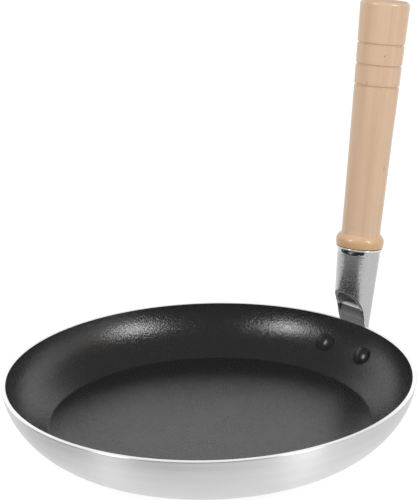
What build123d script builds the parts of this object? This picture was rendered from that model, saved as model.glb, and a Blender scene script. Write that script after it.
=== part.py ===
from build123d import *
import os
from math import cos, radians, sin

os.makedirs("parts", exist_ok=True)

# Omelette pan for one portion: a round aluminium pan, black inside, with an upright wooden handle.
# Lengths in millimetres, angles in degrees, +Z up.
# The origin is the centre of the flat underside. The handle stands on the +X side and leans
# outward in the XZ plane, which cuts the whole object into two mirrored halves.

# Pan
rim_radius = 82.5
rim_height = 24.5
rim_width = 1.6
base_radius = 62.5
floor_radius = 65.1
floor_depth = 20.0
coating_thickness = 0.2
# Lean from the vertical and reach of the curved wall at its two ends, outside and inside
outer_rim_lean, outer_rim_reach = 7.3, 10.7
outer_base_lean, outer_base_reach = 68.9, 11.2
wall_bend = 30.0
inner_rim_lean, inner_rim_reach = 9.0, 11.0
inner_floor_lean, inner_floor_reach = 52.0, 9.0
rim_edge_round = 0.4
crease_round = 1.5
base_edge_round = 3.0

# Rivets, two side by side, square to the wall
rivet_angle = 8.3
rivet_lean = 29.0
rivet_wall_radius = 75.9
rivet_wall_height = rim_height - 11.0
rivet_hole_radius, rivet_hole_start, rivet_hole_depth = 2.55, 9.0, 12.0
rivet_shank_radius = 2.5
rivet_head_radius, rivet_head_top, rivet_head_edge, rivet_head_seat = 4.45, -2.2, -0.6, 0.9
rivet_tail_radius, rivet_tail_top, rivet_tail_edge, rivet_tail_seat = 3.4, 7.0, 6.0, 4.6

# Handle axis: where it crosses the rim's height, and its outward lean
axis_radius = 80.0
axis_lean = 8.2

# Bracket saddle, against the outside of the wall
contact_gap = 0.05
saddle_thickness, saddle_edge_round = 2.6, 0.7
ear_radius, ear_spread, ear_height = 6.4, 11.5, rim_height - 12.4
saddle_middle_radius, saddle_middle_height = 8.2, rim_height - 9.5

# Bracket socket and neck, with heights along the handle axis from the rim's height
socket_wall = 1.4
waist_radius, waist_height = 9.04, 30.7
socket_taper = 0.044
neck_bottom = -18.4
mouth_radius, mouth_height, mouth_edge, mouth_edge_round = 10.26, 34.15, 0.65, 0.25
flare_radius, flare_height = 9.34, 32.8
bore_floor = 8.6
arch_front, arch_top = -8.5, 15.4
arch_middle, arch_middle_height = -3.9, 10.8
arch_side, arch_side_height = -0.5, 3.0
arch_foot, arch_edge_round = 0.7, 0.3
arch_reach = -14.0
ledge_height = -3.2
plate_face, plate_ridge_round = -0.6, 1.5
heel_start, heel_start_height = 7.9, -1.5
heel_middle, heel_middle_height = 4.8, -10.5
heel_end, neck_round = -2.4, 1.5

# Wooden handle, along the same axis
spigot_end, spigot_gap, spigot_chamfer = 18.5, 0.05, 0.8
collar_radius, collar_height = 8.6, 33.65
bead_foot_radius, bead_foot_height, bead_foot_round = 9.85, 34.45, 0.2
bead_radius, bead_height = 10.14, 36.8
shoulder_radius, shoulder_height = 9.0, 39.2
cove_radius, cove_height = 8.35, 39.8
grip_start_radius, grip_start = 8.2, 41.5
grip_middle_radius, grip_middle = 9.02, 86.9
grip_end_radius, grip_end = 10.3, 137.8
grip_edge_round = 1.6
groove_places = ((9.53, 102.8), (9.75, 111.4), (9.97, 120.15))
groove_round = 0.6

# Screw from the outer side of the socket into the spigot
screw_height = 23.3
screw_shank_radius, screw_point, screw_point_start = 1.4, -2.5, 0.0
screw_head_radius, screw_head_seat, screw_head_edge, screw_head_top = 2.8, 8.2, 9.4, 10.3
screw_slot_width, screw_slot_depth = 0.8, 0.7

floor_height = rim_height - floor_depth
inner_rim_radius = rim_radius - rim_width
handle_side = Plane(
    origin=(axis_radius, 0, rim_height),
    x_dir=(cos(radians(axis_lean)), 0, -sin(radians(axis_lean))),
    z_dir=(0, -1, 0),
)
handle_axis = Axis(handle_side.origin, handle_side.y_dir)
screw_side = Plane(
    origin=handle_side.from_local_coords((2 * waist_radius, screw_height, 0)),
    x_dir=handle_side.y_dir + handle_side.z_dir,
    z_dir=handle_side.x_dir,
)
rivet_seats = [
    Plane(
        origin=(
            rivet_wall_radius * cos(radians(turn)),
            rivet_wall_radius * sin(radians(turn)),
            rivet_wall_height,
        ),
        z_dir=(
            cos(radians(rivet_lean)) * cos(radians(turn)),
            cos(radians(rivet_lean)) * sin(radians(turn)),
            -sin(radians(rivet_lean)),
        ),
    )
    for turn in (rivet_angle, -rivet_angle)
]
rivet_holes = [seat.offset(rivet_hole_start) for seat in rivet_seats]
# Side views of the rivets and of the screw, with the fastener's axis along local Y
screw_along = Plane(
    origin=handle_side.from_local_coords((0, screw_height, 0)),
    x_dir=(0, 1, 0),
    z_dir=-handle_side.y_dir,
)
screw_face = Plane(
    origin=screw_along.from_local_coords((0, screw_head_top, 0)), z_dir=screw_along.y_dir
)
rivet_sides = [Plane(origin=seat.origin, x_dir=seat.x_dir, z_dir=-seat.y_dir) for seat in rivet_seats]


def socket_radius(height):
    """Outer radius of the tapered socket at a height along its axis."""
    return waist_radius - socket_taper * (waist_height - height)


def wall_points(top, top_lean, top_reach, bottom, bottom_lean, bottom_reach):
    """Four control points of a wall that runs down and inward from top to bottom."""
    return (
        top,
        (top[0] - top_reach * sin(radians(top_lean)), top[1] - top_reach * cos(radians(top_lean))),
        (
            bottom[0] + bottom_reach * sin(radians(bottom_lean)),
            bottom[1] + bottom_reach * cos(radians(bottom_lean)),
        ),
        bottom,
    )


def outer_wall(outward):
    """Control points of the outer wall, or of a line at a distance outward from it."""
    growth = 1 + outward / wall_bend
    return wall_points(
        (
            rim_radius + outward * cos(radians(outer_rim_lean)),
            rim_height - outward * sin(radians(outer_rim_lean)),
        ),
        outer_rim_lean,
        outer_rim_reach * growth,
        (
            base_radius + outward * cos(radians(outer_base_lean)),
            -outward * sin(radians(outer_base_lean)),
        ),
        outer_base_lean,
        outer_base_reach * growth,
    )


inner_wall = wall_points(
    (inner_rim_radius, rim_height), inner_rim_lean, inner_rim_reach,
    (floor_radius, floor_height), inner_floor_lean, inner_floor_reach,
)

# Section of the full pan without its hollow, and section of the hollow
with BuildSketch(Plane.XZ) as outer_section:
    with BuildLine():
        outside = Bezier(*outer_wall(0))
        Polyline(outside @ 1, (0, 0), (0, rim_height), outside @ 0)
    make_face()
    fillet(outer_section.vertices().group_by(Axis.Y)[0].sort_by(Axis.X)[-1], base_edge_round)

with BuildSketch(Plane.XZ) as hollow_section:
    with BuildLine():
        inside = Bezier(*inner_wall)
        Polyline(inside @ 1, (0, floor_height), (0, rim_height), inside @ 0)
    make_face()
    fillet(hollow_section.vertices().group_by(Axis.Y)[0].sort_by(Axis.X)[-1], crease_round)

# Pan: one revolved wall and floor, thin at the bare rim and thick under the cooking floor
with BuildPart() as pan_body:
    revolve(outer_section.sketch, axis=Axis.Z)
    revolve(hollow_section.sketch, axis=Axis.Z, mode=Mode.SUBTRACT)
    rim_edges = pan_body.edges().filter_by(GeomType.CIRCLE).group_by(Axis.Z)[-1]
    fillet(rim_edges.sort_by(SortBy.LENGTH)[-1], rim_edge_round)
    with Locations(*rivet_holes):
        Hole(radius=rivet_hole_radius, depth=rivet_hole_depth)
pan_body.part.label = "pan_body"

# Non-stick coating: a thin skin over the whole hollow, open at the rim
with BuildPart() as nonstick_coating:
    revolve(hollow_section.sketch, axis=Axis.Z)
    offset(amount=-coating_thickness, openings=nonstick_coating.faces().sort_by(Axis.Z)[-1])
    with Locations(*rivet_holes):
        Hole(radius=rivet_hole_radius, depth=rivet_hole_depth)
nonstick_coating.part.label = "nonstick_coating"

# Sections of the pan grown outward, to the bracket's contact faces and to the saddle's back
with BuildSketch(Plane.XZ) as contact_section:
    with BuildLine():
        contact = Bezier(*outer_wall(contact_gap))
        Polyline(
            contact @ 1,
            (0, (contact @ 1).Y),
            (0, rim_height + contact_gap),
            ((contact @ 0).X, rim_height + contact_gap),
            contact @ 0,
        )
    make_face()
with BuildSketch(Plane.XZ) as saddle_section:
    with BuildLine():
        back = Bezier(*outer_wall(contact_gap + saddle_thickness))
        Polyline(back @ 1, (0, (back @ 1).Y), (0, (back @ 0).Y), back @ 0)
    make_face()

# Hollow of the socket: a tapered bore that opens with the flare, and in front of the plate
# also reaches down to the ledge
with BuildPart() as socket_hollow:
    with BuildSketch(handle_side) as bore_section:
        with BuildLine():
            Polyline(
                (waist_radius - socket_wall, waist_height),
                (socket_radius(ledge_height) - socket_wall, ledge_height),
                (0, ledge_height),
                (0, mouth_height),
                (mouth_radius - mouth_edge, mouth_height),
            )
            ThreePointArc(
                (waist_radius - socket_wall, waist_height),
                (flare_radius - socket_wall, flare_height),
                (mouth_radius - mouth_edge, mouth_height),
            )
        make_face()
    revolve(axis=handle_axis)
    with BuildSketch(handle_side) as plate_section:
        with Locations((plate_face, bore_floor)):
            Rectangle(waist_radius, bore_floor - neck_bottom, align=(Align.MIN, Align.MAX))
        fillet(plate_section.vertices().group_by(Axis.Y)[-1].sort_by(Axis.X)[0], plate_ridge_round)
    extrude(amount=waist_radius, both=True, mode=Mode.SUBTRACT)

# Saddle: a rounded plate that lies along the outside of the wall, widest around the rivets
with BuildPart() as saddle_plate:
    with BuildSketch(Plane.YZ.offset(base_radius)) as saddle_outline:
        with Locations((ear_spread, ear_height), (-ear_spread, ear_height)):
            Circle(ear_radius)
        with Locations((0, saddle_middle_height)):
            Circle(saddle_middle_radius)
        make_hull()
    extrude(amount=rim_radius - base_radius + 2 * saddle_thickness)
    revolve(saddle_section.sketch, axis=Axis.Z, mode=Mode.INTERSECT)
    fillet(saddle_plate.faces().filter_by(GeomType.REVOLUTION).edges(), saddle_edge_round)

# Bracket: the saddle, a neck that rises from it and rests on the rim, and the flared socket
with BuildPart() as handle_bracket:
    with BuildSketch(handle_side) as socket_section:
        with BuildLine():
            Polyline(
                (waist_radius, waist_height),
                (socket_radius(neck_bottom), neck_bottom),
                (0, neck_bottom),
                (0, mouth_height),
                (mouth_radius, mouth_height),
            )
            ThreePointArc(
                (waist_radius, waist_height),
                (flare_radius, flare_height),
                (mouth_radius, mouth_height),
            )
        make_face()
        fillet(socket_section.vertices().group_by(Axis.Y)[-1].sort_by(Axis.X)[-1], mouth_edge_round)
    revolve(axis=handle_axis)
    # The heel of the neck fades into the saddle below
    with BuildSketch(handle_side) as heel_section:
        with BuildLine():
            ThreePointArc(
                (heel_start, heel_start_height), (heel_middle, heel_middle_height), (heel_end, neck_bottom)
            )
            Polyline(
                (heel_end, neck_bottom),
                (2 * mouth_radius, neck_bottom),
                (2 * mouth_radius, heel_start_height),
                (heel_start, heel_start_height),
            )
        make_face()
    extrude(amount=2 * mouth_radius, both=True, mode=Mode.SUBTRACT)
    add(saddle_plate.part)
    neck_roots = handle_bracket.edges(Select.NEW)
    heel_flanks = handle_bracket.edges().filter_by(GeomType.BSPLINE)
    heel_flanks = heel_flanks.filter_by_position(Axis.X, axis_radius, 2 * axis_radius)
    heel_flanks = heel_flanks.filter_by_position(Axis.Y, -saddle_middle_radius, saddle_middle_radius)
    fillet(neck_roots + heel_flanks, neck_round)
    # The scoop below the arch opens the side that faces the pan
    with BuildSketch(handle_side) as arch_section:
        with BuildLine():
            ThreePointArc(
                (arch_front, arch_top), (arch_middle, arch_middle_height), (arch_side, arch_side_height)
            )
            Polyline(
                (arch_side, arch_side_height),
                (arch_foot, 0),
                (arch_foot, ledge_height),
                (arch_reach, ledge_height),
                (arch_reach, arch_top),
                (arch_front, arch_top),
            )
        make_face()
    extrude(amount=2 * mouth_radius, both=True, mode=Mode.SUBTRACT)
    arch_edges = handle_bracket.edges(Select.NEW).filter_by(GeomType.LINE, reverse=True)
    fillet(arch_edges.filter_by_position(Axis.Z, rim_height, rim_height + waist_height), arch_edge_round)
    add(socket_hollow.part, mode=Mode.SUBTRACT)
    revolve(contact_section.sketch, axis=Axis.Z, mode=Mode.SUBTRACT)
    with Locations(*rivet_holes):
        Hole(radius=rivet_hole_radius, depth=rivet_hole_depth)
    with Locations(screw_side):
        Hole(radius=screw_shank_radius + contact_gap, depth=1.5 * waist_radius)
handle_bracket.part.label = "handle_bracket"


def rivet_outline():
    """Half section of a rivet: domed head inside the pan, shank, and formed tail behind the saddle."""
    head_top, head_rim = (0, rivet_head_top), (rivet_head_radius, rivet_head_edge)
    tail_top, tail_rim = (0, rivet_tail_top), (rivet_tail_radius, rivet_tail_edge)
    TangentArc(head_top, head_rim, tangent=(1, 0))
    Polyline(
        head_rim,
        (rivet_head_radius, rivet_head_seat),
        (rivet_shank_radius, rivet_head_seat),
        (rivet_shank_radius, rivet_tail_seat),
        (rivet_tail_radius, rivet_tail_seat),
        tail_rim,
    )
    TangentArc(tail_top, tail_rim, tangent=(1, 0))
    Line(tail_top, head_top)


# Rivets: each is trimmed to the curved faces that it clamps
with BuildPart() as rivet_left:
    with BuildSketch(rivet_sides[0]):
        with BuildLine():
            rivet_outline()
        make_face()
    revolve(axis=Axis(rivet_seats[0].origin, rivet_seats[0].z_dir))
    add((pan_body.part, nonstick_coating.part, handle_bracket.part), mode=Mode.SUBTRACT)
rivet_left.part.label = "rivet_left"

with BuildPart() as rivet_right:
    with BuildSketch(rivet_sides[1]):
        with BuildLine():
            rivet_outline()
        make_face()
    revolve(axis=Axis(rivet_seats[1].origin, rivet_seats[1].z_dir))
    add((pan_body.part, nonstick_coating.part, handle_bracket.part), mode=Mode.SUBTRACT)
rivet_right.part.label = "rivet_right"

# Screw with a slotted domed head, trimmed to the round back of the socket
with BuildPart() as handle_screw:
    with BuildSketch(screw_along):
        with BuildLine():
            TangentArc((0, screw_head_top), (screw_head_radius, screw_head_edge), tangent=(1, 0))
            Polyline(
                (screw_head_radius, screw_head_edge),
                (screw_head_radius, screw_head_seat),
                (screw_shank_radius, screw_head_seat),
                (screw_shank_radius, screw_point_start),
                (0, screw_point),
                (0, screw_head_top),
            )
        make_face()
    revolve(axis=Axis(screw_along.origin, screw_along.y_dir))
    add(handle_bracket.part, mode=Mode.SUBTRACT)
    with BuildSketch(screw_face):
        Rectangle(screw_slot_width, 2 * screw_head_radius)
    extrude(amount=-screw_slot_depth, mode=Mode.SUBTRACT)
handle_screw.part.label = "handle_screw"

# Wooden handle: turned in one piece, spigot, bead, cove and a grip that swells to the top
spigot_end_radius = socket_radius(spigot_end) - socket_wall - spigot_gap
spigot_top_radius = waist_radius - socket_wall - spigot_gap
with BuildPart() as wooden_handle:
    with BuildSketch(handle_side) as turning_section:
        with BuildLine():
            Polyline(
                (0, spigot_end),
                (spigot_end_radius - spigot_chamfer, spigot_end),
                (spigot_end_radius, spigot_end + spigot_chamfer),
                (spigot_top_radius, waist_height),
            )
            ThreePointArc(
                (spigot_top_radius, waist_height),
                (flare_radius - socket_wall - spigot_gap - spigot_gap, flare_height),
                (collar_radius, collar_height),
            )
            Polyline(
                (collar_radius, collar_height),
                (collar_radius, bead_foot_height),
                (bead_foot_radius, bead_foot_height),
            )
            TangentArc(
                (bead_radius, bead_height), (bead_foot_radius, bead_foot_height), tangent=(0, -1)
            )
            TangentArc((bead_radius, bead_height), (shoulder_radius, shoulder_height), tangent=(0, 1))
            Line((shoulder_radius, shoulder_height), (cove_radius, cove_height))
            ThreePointArc(
                (grip_start_radius, grip_start), (grip_middle_radius, grip_middle), (grip_end_radius, grip_end)
            )
            Line((cove_radius, cove_height), (grip_start_radius, grip_start))
            Polyline((grip_end_radius, grip_end), (0, grip_end), (0, spigot_end))
        make_face()
        fillet(turning_section.vertices().sort_by(Axis.Y)[-2:].sort_by(Axis.X)[-1], grip_edge_round)
        bead_corners = turning_section.vertices().filter_by_position(Axis.Y, mouth_height, bead_height)
        fillet(bead_corners.group_by(Axis.Y)[0].sort_by(Axis.X)[-1], bead_foot_round)
    revolve(axis=handle_axis)
    with BuildSketch(handle_side):
        with Locations(*groove_places):
            Circle(groove_round)
    revolve(axis=handle_axis, mode=Mode.SUBTRACT)
    add(handle_screw.part, mode=Mode.SUBTRACT)
wooden_handle.part.label = "wooden_handle"

export_step(pan_body.part, "parts/pan_body.step")
export_step(nonstick_coating.part, "parts/nonstick_coating.step")
export_step(handle_bracket.part, "parts/handle_bracket.step")
export_step(rivet_left.part, "parts/rivet_left.step")
export_step(rivet_right.part, "parts/rivet_right.step")
export_step(wooden_handle.part, "parts/wooden_handle.step")
export_step(handle_screw.part, "parts/handle_screw.step")
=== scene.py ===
"""Omelette pan: materials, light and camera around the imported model.

Metres, +Z up. The pan stands on its base at the origin and its handle is on the +X side.
"""
import math

import bpy
from mathutils import Matrix, Vector


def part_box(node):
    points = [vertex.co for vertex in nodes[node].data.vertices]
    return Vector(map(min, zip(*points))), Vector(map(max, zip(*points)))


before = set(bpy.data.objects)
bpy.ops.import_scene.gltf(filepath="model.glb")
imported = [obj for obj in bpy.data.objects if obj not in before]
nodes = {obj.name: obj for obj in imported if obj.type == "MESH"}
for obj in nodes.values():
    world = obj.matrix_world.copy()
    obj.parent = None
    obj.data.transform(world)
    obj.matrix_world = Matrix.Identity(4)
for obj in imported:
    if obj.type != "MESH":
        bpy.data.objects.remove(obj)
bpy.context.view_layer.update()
scene = bpy.context.scene

MM = 0.001

# The handle's axis: it leans out over +X, from a foot at the height of the rim
rim_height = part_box("pan_body")[1].z
axis_radius = 80.0 * MM
axis_lean = math.radians(8.2)
axis_foot = Vector((axis_radius, 0, rim_height))
axis_turn = (0, axis_lean, 0)

# Heights along that axis that the finishes follow
plate_top = 8.6 * MM
socket_top = 29.0 * MM
flare_foot = 30.2 * MM
lip_foot = 33.2 * MM
bead_low, bead_high = 33.6 * MM, 40.0 * MM
groove_heights = (102.8 * MM, 111.4 * MM, 120.15 * MM)
grip_top = 137.8 * MM

# The socket's radius at the axis's foot and how much it grows with height, half the width of a
# groove, and how far from the pan's axis a rivet's black head ends
socket_foot, socket_taper = 7.69 * MM, 0.044
groove_half = 0.55 * MM
rivet_split = 77.6 * MM

# The values between which a noise mostly swings
noise_swing = (0.3, 0.7)

# Small dark marks in the wood: place in the handle's frame, half width and half length
wood_marks = (
    (Vector((-8.8, -2.8, 104.3)) * MM, 0.33 * MM, 1.7 * MM),
    (Vector((-5.55, -7.94, 115.8)) * MM, 0.40 * MM, 0.45 * MM),
    (Vector((0.7, -8.62, 69.0)) * MM, 0.30 * MM, 1.6 * MM),
)

# Camera: turn and rise of the line to the rim's centre, roll, distance, focal length in pixels,
# and the place of the rim's centre in a picture of 418 by 500
view_turn = math.radians(39.59)
view_rise = math.radians(22.39)
view_roll = math.radians(1.566)
view_distance = 0.650
picture_width, picture_height = 418, 500
focal_pixels = 1623.1
rim_pixel = (208.72, 372.50)
sensor = 36.0
clip_start, clip_end = 0.01, 20.0

# Level directions in the studio: away from the camera, to its right, and to the side that the
# reflections find dark
view_away = Vector((math.sin(view_turn), math.cos(view_turn), 0))
view_right = Vector((math.cos(view_turn), -math.sin(view_turn), 0))
dark_side = (-0.964, -0.266, 0.0)

# Floor: half its width, its colour for the light that it throws on the object, the colour and
# glow that the camera sees, and its glow where reflections find it dim
floor_half = 3.0
floor_colour = 0.8
seen_colour, seen_glow = 0.30, 0.82
dim_glow = 0.40
# Where the dim part starts and ends, towards the dark side, and sideways, where it is weaker
floor_dark_edge = (0.095, 0.125)
floor_side_edge = (0.055, 0.10)
floor_side_dim = 0.22

# Surroundings: the light that falls on the object, and the least that reflections find
world_level = 0.62
world_dim_level = 0.18
# The same edges for directions, and the rise at which the ceiling turns dim
world_dark_edge = (0.0, 0.36)
world_side_edge = (0.65, 0.95)
world_side_dim = 0.30
ceiling_edge = (0.42, 0.62)

# Two upright softboxes: azimuth from the camera, positive to the right, rise, and radiance
softboxes = {
    "softbox_left": (-58, 37, 12.6),
    "softbox_right": (52, 36, 12.8),
}
softbox_distance = 0.95
softbox_width, softbox_height = 0.20, 0.42
softbox_target = Vector((0, 0, 0.05))


def grey(level):
    return (level, level, level, 1.0)


class Graph:
    """The node tree of a material or world, with short calls for the nodes that they share."""

    def __init__(self, owner, kind):
        """Empties the owner's tree and gives it one output node, for a Material or a World."""
        owner.use_nodes = True
        self.owner = owner
        self.tree = owner.node_tree
        self.tree.nodes.clear()
        self.output = self.add("Output" + kind)

    def add(self, kind, *values, settings=None, **named_values):
        """A new node. Values go to its inputs in order, and named ones to the inputs so named."""
        node = self.tree.nodes.new("ShaderNode" + kind)
        for key, value in (settings or {}).items():
            setattr(node, key, value)
        for socket, value in zip(node.inputs, values):
            self.feed(socket, value)
        for name, value in named_values.items():
            self.feed(node.inputs[name.replace("_", " ")], value)
        return node

    def feed(self, socket, value):
        """Links the socket to another one, or sets it to a number, vector or colour."""
        if isinstance(value, bpy.types.NodeSocket):
            self.tree.links.new(value, socket)
        else:
            socket.default_value = value

    def show(self, shader):
        """Ends the tree with that shader's node."""
        self.tree.links.new(shader.outputs[0], self.output.inputs[0])
        return self.owner

    def math(self, operation, *values):
        """A number from numbers."""
        return self.add("Math", *values, settings={"operation": operation}).outputs[0]

    def vectors(self, operation, *values):
        """A vector from vectors."""
        return self.add("VectorMath", *values, settings={"operation": operation}).outputs["Vector"]

    def measure(self, operation, *values):
        """A number from vectors: a length or a dot product."""
        return self.add("VectorMath", *values, settings={"operation": operation}).outputs["Value"]

    def split(self, vector):
        return self.add("SeparateXYZ", vector).outputs

    def join(self, x, y, z):
        return self.add("CombineXYZ", x, y, z).outputs[0]

    def span(self, value, low, high, to_low=0.0, to_high=1.0):
        """value mapped from low..high to to_low..to_high, held at the ends, with a smooth step."""
        node = self.add(
            "MapRange", value, low, high, to_low, to_high,
            settings={"interpolation_type": "SMOOTHSTEP"},
        )
        return node.outputs[0]

    def fade(self, value, low, high):
        """1 up to low, 0 from high on."""
        return self.span(value, low, high, 1.0, 0.0)

    def band(self, value, lower_edge, upper_edge):
        """1 between two edges, each of which is a pair of values, and 0 outside them."""
        return self.math("MULTIPLY", self.span(value, *lower_edge), self.fade(value, *upper_edge))

    def mottle(self, noise, to_low=0.0, to_high=1.0):
        """The swing of a noise, mapped to to_low..to_high."""
        return self.span(noise, *noise_swing, to_low, to_high)

    def blend(self, factor, a, b):
        """Colour a where factor is 0, colour b where it is 1."""
        mix = self.add("Mix", factor, settings={"data_type": "RGBA"})
        self.feed(mix.inputs[6], a)
        self.feed(mix.inputs[7], b)
        return mix.outputs[2]

    def object_place(self):
        return self.add("TexCoord").outputs["Object"]

    def handle_place(self):
        """Place in the handle's own frame: its third part is the height along the handle's axis."""
        node = self.add(
            "Mapping", settings={"vector_type": "TEXTURE"},
            Vector=self.object_place(), Location=axis_foot, Rotation=axis_turn,
        )
        return node.outputs[0]

    def axis_distance(self, place):
        """Distance from the pan's own axis."""
        return self.measure("LENGTH", self.vectors("MULTIPLY", place, (1, 1, 0)))

    def noise(self, place, scale, detail=2.0, roughness=0.5):
        """Noise with that many waves to the metre."""
        node = self.add("TexNoise", Vector=place, Scale=scale, Detail=detail, Roughness=roughness)
        return node.outputs[0]

    def bump(self, height, distance, normal=None):
        """A normal bent by the height, on top of another one where that is given."""
        node = self.add("Bump", Strength=1.0, Distance=distance, Height=height)
        if normal is not None:
            self.feed(node.inputs["Normal"], normal)
        return node.outputs[0]

    def surface(self, **named_values):
        """Finishes the material with one shader."""
        return self.show(self.add("BsdfPrincipled", **named_values))


def material_graph(name):
    return Graph(bpy.data.materials.new(name), "Material")


def spun_aluminium():
    """Bare aluminium off the spinning lathe: rings around the pan's axis, fine and broad."""
    dull, bright = (0.688, 0.688, 0.690, 1), grey(0.715)
    worn, polished = (0.56, 0.56, 0.57, 1), grey(0.95)
    wear_edge, wear_share = (0.45, 0.8), 0.10
    rim_edge = (rim_height - 0.25 * MM, rim_height - 0.05 * MM)
    roughness, broad_roughness = (0.36, 0.42), 0.03
    rim_smoothing, rim_metallic = 0.16, 0.3
    g = material_graph("spun_aluminium")
    place = g.object_place()
    height = g.split(place)[2]
    ring = g.join(g.axis_distance(place), height, 0.0)
    fine = g.noise(ring, scale=2600.0, roughness=0.6)
    broad = g.noise(ring, scale=330.0)
    wear = g.noise(place, scale=90.0, detail=3.0, roughness=0.6)
    rim = g.span(height, *rim_edge)

    colour = g.blend(g.mottle(broad), dull, bright)
    colour = g.blend(g.span(wear, *wear_edge, to_high=wear_share), colour, worn)
    # The rim is painted near white and made less metallic: partly the bare turned metal, partly a
    # painted highlight of its bright edge
    colour = g.blend(rim, colour, polished)
    broad_change = g.math("MULTIPLY_ADD", broad, 2 * broad_roughness, -broad_roughness)
    rough = g.math("ADD", g.mottle(fine, *roughness), broad_change)
    rough = g.math("SUBTRACT", rough, g.math("MULTIPLY", rim, rim_smoothing))
    normal = g.bump(fine, distance=0.0016 * MM)
    normal = g.bump(broad, distance=0.003 * MM, normal=normal)
    # A quarter turn lays the long side of a highlight across the rings
    tangent = g.add("Tangent", settings={"direction_type": "RADIAL", "axis": "Z"}).outputs[0]
    return g.surface(
        Base_Color=colour, Metallic=g.span(rim, 0.0, 1.0, 1.0, rim_metallic), Roughness=rough,
        Anisotropic=0.95, Anisotropic_Rotation=0.25, Tangent=tangent, Normal=normal,
    )


def nonstick():
    """Sprayed black coating: a fine orange peel, tiny lighter grains and glossier specks."""
    black, lighter = (0.010, 0.0098, 0.0096, 1), (0.026, 0.0255, 0.025, 1)
    grain_edge, speck_edge = (0.52, 0.72), (0.38, 0.62)
    roughness, cloud_roughness = (0.13, 0.26), (0.0, 0.03)
    g = material_graph("nonstick")
    place = g.object_place()
    peel = g.noise(place, scale=1300.0, roughness=0.55)
    grain = g.noise(place, scale=3800.0, detail=1.0)
    speck = g.noise(place, scale=1900.0, roughness=0.6)
    cloud = g.noise(place, scale=45.0)

    colour = g.blend(g.span(grain, *grain_edge), black, lighter)
    rough = g.span(speck, *speck_edge, *roughness)
    rough = g.math("ADD", rough, g.mottle(cloud, *cloud_roughness))
    normal = g.bump(peel, distance=0.13 * MM)
    normal = g.bump(grain, distance=0.020 * MM, normal=normal)
    return g.surface(Base_Color=colour, Roughness=rough, Normal=normal, Specular_IOR_Level=0.84)


def scoop_places(g, x, y, along):
    """Where the bracket is scooped out, and where its flat plate and that plate's ridge are."""
    cut_depth = (0.05 * MM, 0.20 * MM)
    ridge_foot = (plate_top - 1.3 * MM, plate_top - 0.8 * MM)
    ridge_top = (plate_top + 0.1 * MM, plate_top + 0.4 * MM)
    ridge_back = (0.2 * MM, 0.8 * MM)
    # The scoop is what lies deeper than the socket's tapered outside, below the flare
    skin = g.math("MULTIPLY_ADD", along, socket_taper, socket_foot)
    depth = g.math("SUBTRACT", skin, g.measure("LENGTH", g.join(x, y, 0.0)))
    below_flare = g.fade(along, socket_top, socket_top + MM)
    inside = g.math("MULTIPLY", g.span(depth, *cut_depth), below_flare)
    # The ridge runs along the plate's top, on the pan's side of the handle's axis
    plate = g.fade(along, *ridge_foot)
    ridge = g.math("MULTIPLY", g.band(along, ridge_foot, ridge_top), g.fade(x, *ridge_back))
    return inside, plate, ridge


def bracket_metal():
    """Cast aluminium: polished outside, as cast in the scoop, with painted shadow on the plate and
    painted highlights on the ridge and the lip.
    """
    polished = (0.475, 0.475, 0.477, 1), grey(0.55)
    as_cast = (0.42, 0.42, 0.423, 1), grey(0.66)
    shadow, ridge_highlight, lip_highlight = grey(0.0), grey(0.92), grey(0.86)
    # Share of shadow at the plate's foot and at its top
    plate_shadow = (0.15, 0.72)
    pit_edge, cast_edge = (0.36, 0.64), (0.35, 0.65)
    roughness, flare_roughness, scoop_roughening = (0.13, 0.35), 0.17, 0.24
    # How much less metallic the scoop and the lip with its painted highlight are, and what is left of
    # the bumps on the flare
    metal_loss, flare_relief = 0.6, 0.25
    g = material_graph("bracket_metal")
    place = g.object_place()
    x, y, along = g.split(g.handle_place())
    waves = g.noise(place, scale=260.0)
    pits = g.noise(place, scale=1500.0, roughness=0.6)
    inside, plate, ridge = scoop_places(g, x, y, along)
    flare = g.span(along, flare_foot, flare_foot + MM)
    lip = g.span(along, lip_foot, lip_foot + 0.4 * MM)

    # Painted shadow: the plate in the scoop is blended towards black, more so towards the ridge
    shade = g.math("MULTIPLY", plate, g.span(along, MM, plate_top - 2 * MM, *plate_shadow))
    scoop = g.blend(g.span(pits, *cast_edge), *as_cast)
    scoop = g.blend(shade, scoop, shadow)
    # Painted highlight: the rounded ridge along the plate's top is painted near white
    scoop = g.blend(ridge, scoop, ridge_highlight)
    colour = g.blend(g.mottle(pits), *polished)
    colour = g.blend(inside, colour, scoop)
    # Painted highlight: the lip at the socket's mouth is painted near white, and made less metallic so
    # that the paint shows
    colour = g.blend(lip, colour, lip_highlight)
    rough = g.span(pits, *pit_edge, *roughness)
    to_flare = g.math("MULTIPLY", flare, g.math("SUBTRACT", rough, flare_roughness))
    rough = g.math("SUBTRACT", rough, to_flare)
    rough = g.math("ADD", rough, g.math("MULTIPLY", inside, scoop_roughening))
    loss = g.math("MULTIPLY", g.math("MAXIMUM", inside, lip), metal_loss)
    relief = g.span(flare, 0.0, 1.0, 1.0, flare_relief)
    normal = g.bump(g.math("MULTIPLY", waves, relief), distance=0.012 * MM)
    normal = g.bump(g.math("MULTIPLY", pits, relief), distance=0.006 * MM, normal=normal)
    return g.surface(
        Base_Color=colour, Metallic=g.math("SUBTRACT", 1.0, loss), Roughness=rough, Normal=normal
    )


def coated_rivet():
    """Aluminium rivet whose head carries the pan's black coating; the formed tail is bare."""
    black, aluminium = (0.018, 0.0175, 0.017, 1), (0.78, 0.78, 0.79, 1)
    roughness = (0.20, 0.28)
    g = material_graph("coated_rivet")
    place = g.object_place()
    peel = g.noise(place, scale=1500.0)
    bare = g.span(g.axis_distance(place), rivet_split - 0.1 * MM, rivet_split + 0.1 * MM)
    return g.surface(
        Base_Color=g.blend(bare, black, aluminium), Metallic=bare,
        Roughness=g.mottle(peel, *roughness), Normal=g.bump(peel, distance=0.006 * MM),
    )


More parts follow.
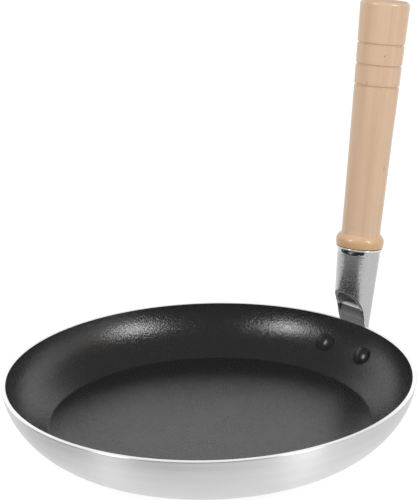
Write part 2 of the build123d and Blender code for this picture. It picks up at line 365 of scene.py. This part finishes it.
def screw_steel():
    """Plain steel with a fine grain."""
    dull, bright = grey(0.50), (0.62, 0.62, 0.61, 1)
    roughness = (0.22, 0.36)
    g = material_graph("screw_steel")
    grain = g.noise(g.object_place(), scale=1400.0, detail=3.0, roughness=0.6)
    return g.surface(
        Base_Color=g.blend(g.mottle(grain), dull, bright), Metallic=1.0,
        Roughness=g.mottle(grain, *roughness), Normal=g.bump(grain, distance=0.004 * MM),
    )


def wood_colour(g, place, fibre, stretched):
    """Clouds of a warmer tone, growth rings and dark fibres."""
    pale, warm, late = (0.66, 0.455, 0.303, 1), (0.605, 0.40, 0.256, 1), (0.525, 0.322, 0.186, 1)
    cloud_edge = (0.35, 0.7)
    ring_edge, ring_share = (0.72, 1.0), 0.20
    fibre_edge, fibre_share = (0.55, 0.8), 0.30
    # The rings' heart lies outside the handle, and they sway along it
    heart_x, heart_y = -21 * MM, -9 * MM
    ring_width, ring_sway = 2.1 * MM, 3.0
    x, y = g.split(place)[:2]
    sway = g.noise(stretched, scale=70.0)
    cloud = g.noise(stretched, scale=160.0)
    from_heart = g.join(g.math("SUBTRACT", x, heart_x), g.math("SUBTRACT", y, heart_y), 0.0)
    ring = g.math("MULTIPLY", g.measure("LENGTH", from_heart), 1 / ring_width)
    ring = g.math("ADD", ring, g.math("MULTIPLY", sway, ring_sway))
    ring = g.math("PINGPONG", ring, 1.0)
    colour = g.blend(g.span(cloud, *cloud_edge), pale, warm)
    colour = g.blend(g.span(ring, *ring_edge, to_high=ring_share), colour, late)
    return g.blend(g.span(fibre, *fibre_edge, to_high=fibre_share), colour, late)


def varnished_wood():
    """Pale close-grained wood under clear varnish, with scorched grooves near the top."""
    bead_colour, bead_share = (0.60, 0.345, 0.15, 1), 0.75
    scorched, scorch_share, scorch_half = (0.30, 0.17, 0.09, 1), 0.22, 0.20 * MM
    marked, mark_share, mark_core = (0.16, 0.08, 0.04, 1), 0.75, 0.3
    end_colour = (0.62, 0.44, 0.31, 1)
    grain_stretch = (1, 1, 0.06)
    roughness, end_roughening = (0.42, 0.5), 0.4
    varnish_weight = (0.55, 1.0)
    g = material_graph("varnished_wood")
    place = g.handle_place()
    along = g.split(place)[2]
    # The grain is drawn out along the handle
    stretched = g.vectors("MULTIPLY", place, grain_stretch)
    fibre = g.noise(stretched, scale=2300.0, detail=3.0, roughness=0.6)
    colour = wood_colour(g, place, fibre, stretched)

    bead = g.band(along, (bead_low, bead_low + MM), (bead_high - 3.5 * MM, bead_high))
    colour = g.blend(g.math("MULTIPLY", bead, bead_share), colour, bead_colour)
    for groove in groove_heights:
        away = g.math("ABSOLUTE", g.math("SUBTRACT", along, groove))
        scorch = g.span(away, scorch_half, groove_half, scorch_share, 0.0)
        colour = g.blend(scorch, colour, scorched)
    for centre, half_width, half_length in wood_marks:
        away = g.vectors("SUBTRACT", place, centre)
        away = g.vectors("DIVIDE", away, (half_width, half_width, half_length))
        mark = g.span(g.measure("LENGTH", away), mark_core, 1.0, mark_share, 0.0)
        colour = g.blend(mark, colour, marked)
    end = g.span(along, grip_top - 0.5 * MM, grip_top - 0.1 * MM)
    colour = g.blend(end, colour, end_colour)

    # The varnish gathers on the rounded edge of the end, and the end face is bare and rough
    varnish = g.span(along, grip_top - 2 * MM, grip_top - MM, *varnish_weight)
    varnish = g.math("MULTIPLY", varnish, g.fade(end, 0.0, 1.0))
    rough = g.math("ADD", g.mottle(fibre, *roughness), g.math("MULTIPLY", end, end_roughening))
    return g.surface(
        Base_Color=colour, Roughness=rough, Normal=g.bump(fibre, distance=0.004 * MM),
        Coat_Weight=varnish, Coat_Roughness=0.15,
    )


def seen_paths(g):
    """1 for rays from the camera, and 1 for rays off metal or through glass."""
    path = g.add("LightPath").outputs
    return path["Is Camera Ray"], g.math("MAXIMUM", path["Is Glossy Ray"], path["Is Transmission Ray"])


def towards_dark_side(g, vector):
    """How far a place or direction lies to the dark side of the studio, across from the handle."""
    return g.measure("DOT_PRODUCT", vector, dark_side)


def sideways(g, vector):
    """How far a place or direction lies to the left or right of the pan, as the photo shows it."""
    return g.math("ABSOLUTE", g.measure("DOT_PRODUCT", vector, view_right))


def stage_floor():
    """White floor that keeps a soft shadow, and that reflections find dim at its sides."""
    mesh = bpy.data.meshes.new("floor")
    corners = [(-1, -1), (1, -1), (1, 1), (-1, 1)]
    mesh.from_pydata([(x * floor_half, y * floor_half, 0) for x, y in corners], [], [(0, 1, 2, 3)])
    floor = bpy.data.objects.new("floor", mesh)
    scene.collection.objects.link(floor)
    g = material_graph("floor_paper")
    camera, mirrored = seen_paths(g)
    plain = g.add("BsdfDiffuse", Color=grey(floor_colour)).outputs[0]
    shaded = g.add("BsdfDiffuse", Color=grey(seen_colour)).outputs[0]
    glow = g.add("Emission", Color=grey(1.0), Strength=seen_glow).outputs[0]
    seen = g.add("AddShader", shaded, glow).outputs[0]
    dim = g.add("Emission", Color=grey(1.0), Strength=dim_glow).outputs[0]
    place = g.object_place()
    side = g.span(sideways(g, place), *floor_side_edge, to_high=floor_side_dim)
    edge = g.math("MAXIMUM", g.span(towards_dark_side(g, place), *floor_dark_edge), side)
    reflected = g.add("MixShader", edge, seen, dim).outputs[0]
    paper = g.add("MixShader", mirrored, plain, reflected).outputs[0]
    mesh.materials.append(g.show(g.add("MixShader", camera, paper, seen)))


def stage_world():
    """White backdrop: even light on the object, and a dim side and ceiling in its reflections."""
    scene.world = bpy.data.worlds.new("surroundings")
    g = Graph(scene.world, "World")
    camera, mirrored = seen_paths(g)
    direction = g.add("TexCoord").outputs["Generated"]
    ceiling = g.span(g.split(direction)[2], *ceiling_edge)
    side = g.span(sideways(g, direction), *world_side_edge, to_high=world_side_dim)
    dim = g.math("MAXIMUM", g.span(towards_dark_side(g, direction), *world_dark_edge), ceiling)
    dim = g.math("MAXIMUM", dim, side)
    reflected = g.span(dim, 0.0, 1.0, 1.0, world_dim_level)
    change = g.math("MULTIPLY", mirrored, g.math("SUBTRACT", reflected, world_level))
    strength = g.math("MAXIMUM", g.math("ADD", change, world_level), camera)
    g.show(g.add("Background", Color=grey(1.0), Strength=strength))


def place_softbox(name, azimuth, rise, radiance):
    """A soft lamp that faces the pan, from an azimuth and a rise in degrees."""
    turn = math.radians(azimuth)
    flat = -math.cos(turn) * view_away + math.sin(turn) * view_right
    up = math.radians(rise)
    direction = math.cos(up) * flat + Vector((0, 0, math.sin(up)))
    lamp = bpy.data.lights.new(name, "AREA")
    lamp.shape = "RECTANGLE"
    lamp.size, lamp.size_y = softbox_width, softbox_height
    lamp.energy = radiance * math.pi * softbox_width * softbox_height
    holder = bpy.data.objects.new(name, lamp)
    holder.location = softbox_target + softbox_distance * direction
    holder.rotation_euler = direction.to_track_quat("Z", "Y").to_euler()
    scene.collection.objects.link(holder)


def place_camera():
    """The camera of the photograph: aimed so that the rim's centre falls on its pixel."""
    rim = Vector((0, 0, rim_height))
    back = Vector((0, 0, math.sin(view_rise))) - math.cos(view_rise) * view_away
    axes = Matrix((view_right, back.cross(view_right), back)).transposed()
    ray = Vector((
        (rim_pixel[0] - picture_width / 2) / focal_pixels,
        -(rim_pixel[1] - picture_height / 2) / focal_pixels,
        -1,
    )).normalized()
    tilt = Vector((0, 0, -1)).rotation_difference(ray).to_matrix()
    roll = Matrix.Rotation(view_roll, 3, "Z")
    turn = (tilt @ roll @ axes.transposed()).transposed()
    lens = bpy.data.cameras.new("camera")
    lens.sensor_width = sensor
    lens.lens = sensor * focal_pixels / picture_height
    lens.clip_start, lens.clip_end = clip_start, clip_end
    camera = bpy.data.objects.new("camera", lens)
    camera.matrix_world = Matrix.Translation(rim + view_distance * back) @ turn.to_4x4()
    scene.collection.objects.link(camera)
    scene.camera = camera


finishes = {
    "pan_body": spun_aluminium(),
    "nonstick_coating": nonstick(),
    "handle_bracket": bracket_metal(),
    "rivet_left": coated_rivet(),
    "wooden_handle": varnished_wood(),
    "handle_screw": screw_steel(),
}
finishes["rivet_right"] = finishes["rivet_left"]
for name, material in finishes.items():
    nodes[name].data.materials.clear()
    nodes[name].data.materials.append(material)

stage_floor()
stage_world()
for name, settings in softboxes.items():
    place_softbox(name, *settings)
place_camera()
scene.view_settings.view_transform = "Standard"
